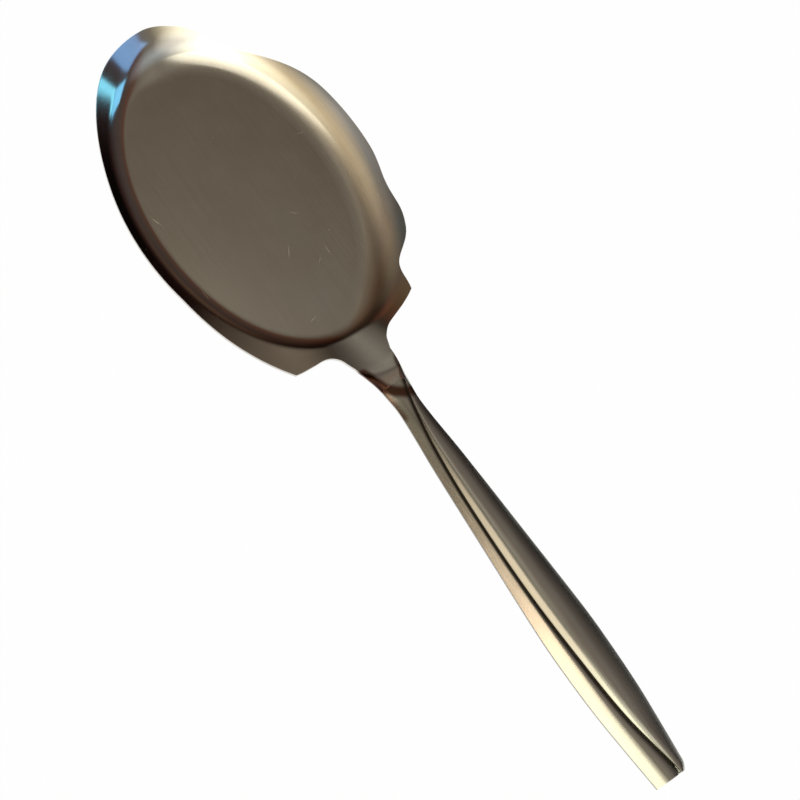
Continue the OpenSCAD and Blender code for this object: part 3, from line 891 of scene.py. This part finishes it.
# Closed solid between two grids of points, rows along the handle and columns across it
def addShell(mesh, outerPoints, innerPoints):
    def addGrid(points):
        return [[mesh.verts.new(Vector(p) * mm) for p in row] for row in points]

    outer, inner = addGrid(outerPoints), addGrid(innerPoints)
    last = len(outer[0]) - 1
    for grid in (outer, inner):
        for a, b in zip(grid, grid[1:]):
            for j in range(last):
                mesh.faces.new((a[j], a[j + 1], b[j + 1], b[j]))
    for i in range(len(outer) - 1):
        for j in (0, last):
            mesh.faces.new((outer[i][j], outer[i + 1][j], inner[i + 1][j], inner[i][j]))
    for i in (0, -1):
        for j in range(last):
            mesh.faces.new((outer[i][j], outer[i][j + 1], inner[i][j + 1], inner[i][j]))


def bandRow(u, inset):
    ys = spread(inset - bandHalf(u), bandEdge(u), handle["columns"])
    return [frontPoint(u, y, inset) for y in ys]


def leafRow(u, inset):
    ys = spread(leafEdge(u), leafHalf(u) - inset, handle["columns"])
    return [frontPoint(u, y, inset, lipAt(u)) for y in ys]


def backRow(u, inset):
    ys = spread(inset - bandHalf(u), leafHalf(u) - inset, 2 * handle["columns"])
    return [backPoint(u, y, inset) for y in ys]


# Painted dark shade along the crease: 1 in it, fading to 0 on both sides
def creaseShadeAt(point):
    u = clamp01((point.x / mm - alongX(0)) / handle["length"])
    away = point.y / mm - creaseY(u)
    reach = handle["bandCreaseShade"] if away < 0 else handle["leafCreaseShade"]
    return ease(1 - abs(away) / reach)


def makeShell(name, node, rowAt):
    mesh = bmesh.new()
    addShell(mesh, *[[rowAt(u, inset) for u in handlePlaces] for inset in (0.0, handle["wall"])])
    if rowAt != backRow:
        creaseShade, jointShade = [mesh.verts.layers.float.new(layer) for layer in ("creaseShade", "jointShadeShare")]
        for vert in mesh.verts:
            # painted dark shade along the crease
            vert[creaseShade] = creaseShadeAt(vert.co)
            # painted brown shade near the joint
            vert[jointShade] = jointShadeAt(vert.co)
    sharp = alongX(0) - fitSlack, alongX(0) + fitSlack
    return addPiece(name, mesh, node, "handle_steel", satinSteel, handle["edgeRadius"], *sharp)


handlePieces = [
    makeShell("handleBand", "handle_band", bandRow),
    makeShell("handleLeaf", "handle_leaf", leafRow),
    makeShell("handleBack", "handle_back", backRow),
]


# Solder: a ribbon down the crease and one along each side seam
def makeSolder():
    mesh = bmesh.new()
    wall = handle["wall"]
    halfFilm = handle["solderGap"] / 2 - handle["fitGap"]
    halfCrease = handle["creaseGap"] / 2 - handle["fitGap"]

    def addRibbon(places, sidesAt, heightsAt):
        grids = [[], []]
        for u in places:
            for grid, z in zip(grids, heightsAt(u)):
                grid.append([(alongX(u), y, z) for y in sidesAt(u)])
        addShell(mesh, *grids)

    def creaseSides(u):
        return creaseY(u) - halfCrease, creaseY(u) + halfCrease

    def creaseHeights(u):
        top, bottom = [frontPoint(u, bandEdge(u), inset)[2] for inset in (0, wall)]
        return top - handle["creaseSink"], bottom + handle["fitGap"]

    def seamHeights(u):
        return seamZ + halfFilm, seamZ - halfFilm

    addRibbon(shellPlaces[1:], creaseSides, creaseHeights)
    addRibbon(handlePlaces, lambda u: (-bandHalf(u), wall - bandHalf(u)), seamHeights)
    addRibbon(handlePlaces, lambda u: (leafHalf(u) - wall, leafHalf(u)), seamHeights)
    return addPiece("seamSolder", mesh, "seam_solder", "solder", silverSolder, 0)


handlePieces.append(makeSolder())

# Plug that closes the square end
plug = {"thickness": 2.0, "inset": 0.4, "gap": 0.06, "edgeRadius": 0.12, "rows": 4}


def makePlug():
    mesh = bmesh.new()
    inset = handle["wall"] + plug["gap"]
    face = 1 - plug["inset"] / handle["length"]
    places = steps(face - plug["thickness"] / handle["length"], face, plug["rows"])
    grids = []
    for pointAt in (frontPoint, backPoint):
        grid = []
        for u in places:
            ys = spread(inset - bandHalf(u), creaseY(u), handle["columns"])
            ys += spread(creaseY(u), leafHalf(u) - inset, handle["columns"])[1:]
            grid.append([pointAt(u, y, inset) for y in ys])
        grids.append(grid)
    addShell(mesh, *grids)
    return addPiece("endPlug", mesh, "end_plug", "handle_steel", satinSteel, plug["edgeRadius"])


handlePieces.append(makePlug())

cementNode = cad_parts["handle_cement"]  # hidden inside, its CAD shape stays
for materialSlot in cementNode.material_slots:
    materialSlot.material = cement
print("cement finished")

# Floor: matt white paper sheet, wide enough to fill every view
floorSettings = {
    "size": 8000.0,
    "drop": 0.15,
    "colour": "#E8E8E8",
    "fibreSize": 1.5,
    "fibreDepth": 0.01,
    "white": 0.99,  # share of plain white that cameras and mirrors see, the rest keeps the shadow
}


def makeFloor():
    s = floorSettings
    material, tree = newMaterial("paper, matt white")
    place = addNode(tree, "TexCoord").outputs["Object"]
    fibreInputs = {"Vector": place, "Scale": patternScale(s["fibreSize"]), "Detail": 4.0}
    fibres = addNode(tree, "TexNoise", fibreInputs).outputs[0]
    bumpInputs = {"Strength": 1.0, "Distance": s["fibreDepth"] * mm, "Height": fibres}
    fibrous = addNode(tree, "Bump", bumpInputs).outputs[0]
    paper = addNode(tree, "BsdfDiffuse", {"Color": linear(s["colour"]), "Normal": fibrous})
    white = addNode(tree, "Emission", {"Color": (1, 1, 1, 1), "Strength": 1.0})
    light = addNode(tree, "LightPath")
    seen = light.outputs["Is Camera Ray"]
    for ray in ("Is Glossy Ray", "Is Transmission Ray"):
        seen = addNode(tree, "Math", {0: seen, 1: light.outputs[ray]}, operation="MAXIMUM").outputs[0]
    share = addNode(tree, "Math", {0: seen, 1: s["white"]}, operation="MULTIPLY")
    blend = addNode(tree, "MixShader", {0: share.outputs[0], 1: paper.outputs[0], 2: white.outputs[0]})
    addNode(tree, "OutputMaterial", {"Surface": blend.outputs[0]})
    mesh = bmesh.new()
    bmesh.ops.create_grid(mesh, x_segments=1, y_segments=1, size=s["size"] * mm / 2)
    data = bpy.data.meshes.new("floor")
    mesh.to_mesh(data)
    mesh.free()
    data.materials.append(material)
    floor = bpy.data.objects.new("floor", data)
    floor.location.z = cadBox[0].z - s["drop"] * mm
    bpy.context.collection.objects.link(floor)


makeFloor()
print("floor laid")

# Room: warm dim walls and ceiling, darkest low beyond the leaf's side. The two tones are multiplied.
roomSettings = {
    # along Y, from -1 on the band's side to 1 on the leaf's side
    "acrossStops": [
        (-1.0, "#80796B"),
        (-0.2, "#817A6B"),
        (0.0, "#847D70"),
        (0.2, "#9E9486"),
        (0.36, "#8E897F"),
        (0.405, "#744E3F"),
        (0.52, "#60534D"),
        (0.66, "#5B4E4C"),
        (0.78, "#4C413F"),
        (0.88, "#3D2824"),
        (0.96, "#0C0806"),
    ],
    # along X, from -1 beyond the tip to 1 beyond the handle
    "alongStops": [
        (-0.95, "#FFFFFF"),
        (-0.88, "#686868"),
        (-0.79, "#706A66"),
        (-0.68, "#5A4A42"),
        (-0.56, "#7C665A"),
        (-0.45, "#B89C8C"),
        (-0.3, "#DDD4CE"),
        (-0.18, "#FFFFFF"),
    ],
}


def makeRoom():
    world = bpy.data.worlds.new("room")
    world.use_nodes = True
    tree = world.node_tree
    tree.nodes.clear()
    way = addNode(tree, "SeparateXYZ", {0: addNode(tree, "TexCoord").outputs["Generated"]})
    tones = []
    for axis, key in (("Y", "acrossStops"), ("X", "alongStops")):
        share = addNode(tree, "MapRange", {"Value": way.outputs[axis], "From Min": -1.0, "From Max": 1.0})
        stops = [((place + 1) / 2, hexColour) for place, hexColour in roomSettings[key]]
        tones.append(addNode(tree, "ValToRGB", {0: share.outputs[0]}, stops).outputs[0])
    mixInputs = {"Factor": 1.0, 6: tones[0], 7: tones[1]}
    tone = addNode(tree, "Mix", mixInputs, data_type="RGBA", blend_type="MULTIPLY")
    back = addNode(tree, "Background", {"Color": tone.outputs[2], "Strength": 1.0})
    addNode(tree, "OutputWorld", {"Surface": back.outputs[0]})
    bpy.context.scene.world = world


makeRoom()

# Lamps: which way each lies (the X and Y of a direction), its colour, how bright it looks and what it
# lights. A soft glow fades out over its reach, in degrees. A sharp panel has its own aim, distance
# and size, and shines every way unless it has a reach too.
lampSettings = {
    "distance": 1450.0,
    "aim": (75.0, 0.0, 0.0),
    "span": 160.0,  # half the object's length and some room
    "everyWay": 90.0,  # reach of a lamp that doesn't fade
}
softGlows = {
    "rimCore": {"way": (0.07, -0.01), "reach": 18, "colour": "#F6FFF6", "glow": 2.1, "lights": "pan"},
    "rimWide": {"way": (0.0, -0.17), "reach": 25, "colour": "#FFE1A0", "glow": 1.1, "lights": "pan"},
    "tipCore": {"way": (0.38, -0.12), "reach": 25, "colour": "#FFFFF8", "glow": 2.5, "lights": "pan"},
    "tipEdge": {"way": (0.66, -0.06), "reach": 18, "colour": "#FFFAD8", "glow": 1.4, "lights": "pan"},
    "flareGlow": {"way": (-0.12, -0.5), "reach": 24, "colour": "#EAF2FF", "glow": 0.42, "lights": "pan"},
    "earGlow": {"way": (-0.55, -0.42), "reach": 26, "colour": "#E8FAFF", "glow": 0.15, "lights": "pan"},
    "bendGlow": {"way": (-0.3, -0.12), "reach": 14, "colour": "#FAF2F0", "glow": 0.26, "lights": "pan"},
    "bendEnd": {"way": (-0.5, -0.2), "reach": 16, "colour": "#FFE1B4", "glow": 0.28, "lights": "pan"},
    "neckRampGlow": {"way": (-0.82, 0.31), "reach": 14, "colour": "#FFFBF0", "glow": 0.33, "lights": "pan"},
    "sideGlow": {"way": (-0.78, -0.22), "reach": 16, "colour": "#FFB860", "glow": 0.13, "lights": "pan"},
    "leafEarGlow": {"way": (-0.75, -0.02), "reach": 10, "colour": "#FF967A", "glow": 0.14, "lights": "pan"},
    "wallGlow": {"way": (-0.7, 0.7), "reach": 22, "colour": "#F6E4CC", "glow": 0.36, "lights": "pan"},
    "wallHighGlow": {"way": (-0.34, 0.76), "reach": 12, "colour": "#FFC890", "glow": 0.08, "lights": "pan"},
    "greyGlow": {"way": (0.27, 0.3), "reach": 13, "colour": "#CCE4F8", "glow": 0.6, "lights": "pan"},
    "gripGlow": {"way": (0.12, -0.25), "reach": 16, "colour": "#FFF4E0", "glow": 1.15, "lights": "handle"},
    "lipGlow": {"way": (-0.21, 0.19), "reach": 10, "colour": "#FFF8F0", "glow": 0.68, "lights": "leaf"},
    "lipEndGlow": {"way": (0.22, 0.0), "reach": 13, "colour": "#FFFCE8", "glow": 1.6, "lights": "leaf"},
    "leafGlow": {"way": (0.0, 0.6), "reach": 30, "colour": "#FFFAEC", "glow": 0.23, "lights": "handle"},
    "leafEdgeGlow": {"way": (0.05, 0.93), "reach": 16, "colour": "#FFFAF0", "glow": 0.13, "lights": "handle"},
}
sharpPanels = {
    "tipPanel": {
        "way": (0.0, 0.0),
        "aim": (-110, 205, 0),
        "distance": 1450,
        "size": (420, 410),
        "colour": "#FFFCEC",
        "glow": 1.2,
        "lights": "pan",
    },
    "paneHigh": {
        "way": (0.555, 0.535),
        "aim": (-20, 0, 0),
        "distance": 1503,
        "size": (440, 620),
        "colour": "#7CBAFF",
        "glow": 1.3,
        "lights": "pan",
    },
    "paneMiddle": {
        "way": (0.21, 0.705),
        "aim": (-20, 0, 0),
        "distance": 1500,
        "size": (330, 500),
        "colour": "#70CAFF",
        "glow": 2.1,
        "lights": "pan",
    },
    "paneLow": {
        "way": (0.27, 0.828),
        "aim": (-20, 0, 0),
        "distance": 1511,
        "size": (300, 150),
        "colour": "#7ADAFF",
        "glow": 2.5,
        "lights": "pan",
    },
    "neckPanel": {  # close above the neck, so that it lights little else
        "way": (-0.55, 0.28),
        "aim": (69, 0.4, 8.8),
        "distance": 20,
        "size": (16, 24),
        "reach": 28,
        "colour": "#FFF8EE",
        "glow": 0.24,
        "lights": "pan",
    },
    "gripPanel": {
        "way": (0.0, -0.707),
        "aim": (140, 0, 8),
        "distance": 450,
        "size": (80, 360),
        "colour": "#FFE0C2",
        "glow": 3.8,
        "lights": "band",
    },
    "lipPanel": {
        "way": (0.0, -0.707),
        "aim": (105, 0, 8),
        "distance": 450,
        "size": (160, 440),
        "colour": "#FFEACE",
        "glow": 1.55,
        "lights": "leaf",
    },
    "endPanel": {
        "way": (0.0, -0.707),
        "aim": (430, 0, 8),
        "distance": 450,
        "size": (500, 360),
        "colour": "#FFFFE4",
        "glow": 2.2,
        "lights": "handle",
    },
}
# What a lamp may light: the band's group is the handle without its leaf
litGroups = {
    "pan": panPieces,
    "handle": handlePieces,
    "leaf": [piece for piece in handlePieces if piece.name == "handleLeaf"],
    "band": [piece for piece in handlePieces if piece.name != "handleLeaf"],
}
litCollections = {}
for groupName, pieces in litGroups.items():
    litCollections[groupName] = bpy.data.collections.new("lit " + groupName)
    for piece in pieces:
        litCollections[groupName].objects.link(piece)


def hangLamp(name, s, aim, distance, size, reach):
    lamp = bpy.data.lights.new(name, "AREA")
    lamp.shape = "RECTANGLE"
    lamp.size, lamp.size_y = (side * mm for side in size)
    lamp.spread = math.radians(2 * reach)
    lamp.color = linear(s["colour"])[:3]
    # Brightness as seen from the object, straight on: a narrow spread packs the same watts closer
    half = math.radians(reach)
    packing = 1 - half / math.tan(half) if reach < lampSettings["everyWay"] else 1.0
    lamp.energy = s["glow"] * packing * math.pi * lamp.size * lamp.size_y
    hung = bpy.data.objects.new(name, lamp)
    x, y = s["way"]
    way = Vector((x, y, math.sqrt(1 - x * x - y * y)))
    hung.location = (Vector(aim) + way * distance) * mm
    hung.rotation_euler = (-way).to_track_quat("-Z", "Y").to_euler()
    hung.visible_camera = False
    hung.light_linking.receiver_collection = litCollections[s["lights"]]
    bpy.context.collection.objects.link(hung)


for glowName, glow in softGlows.items():
    glowSide = 2 * (lampSettings["distance"] * tand(glow["reach"]) + lampSettings["span"])
    glowSize = glowSide, glowSide
    hangLamp(glowName, glow, lampSettings["aim"], lampSettings["distance"], glowSize, glow["reach"])
for panelName, panel in sharpPanels.items():
    panelReach = panel.get("reach", lampSettings["everyWay"])
    hangLamp(panelName, panel, panel["aim"], panel["distance"], panel["size"], panelReach)
print("room and lamps set")

bpy.context.scene.view_settings.view_transform = "Standard"
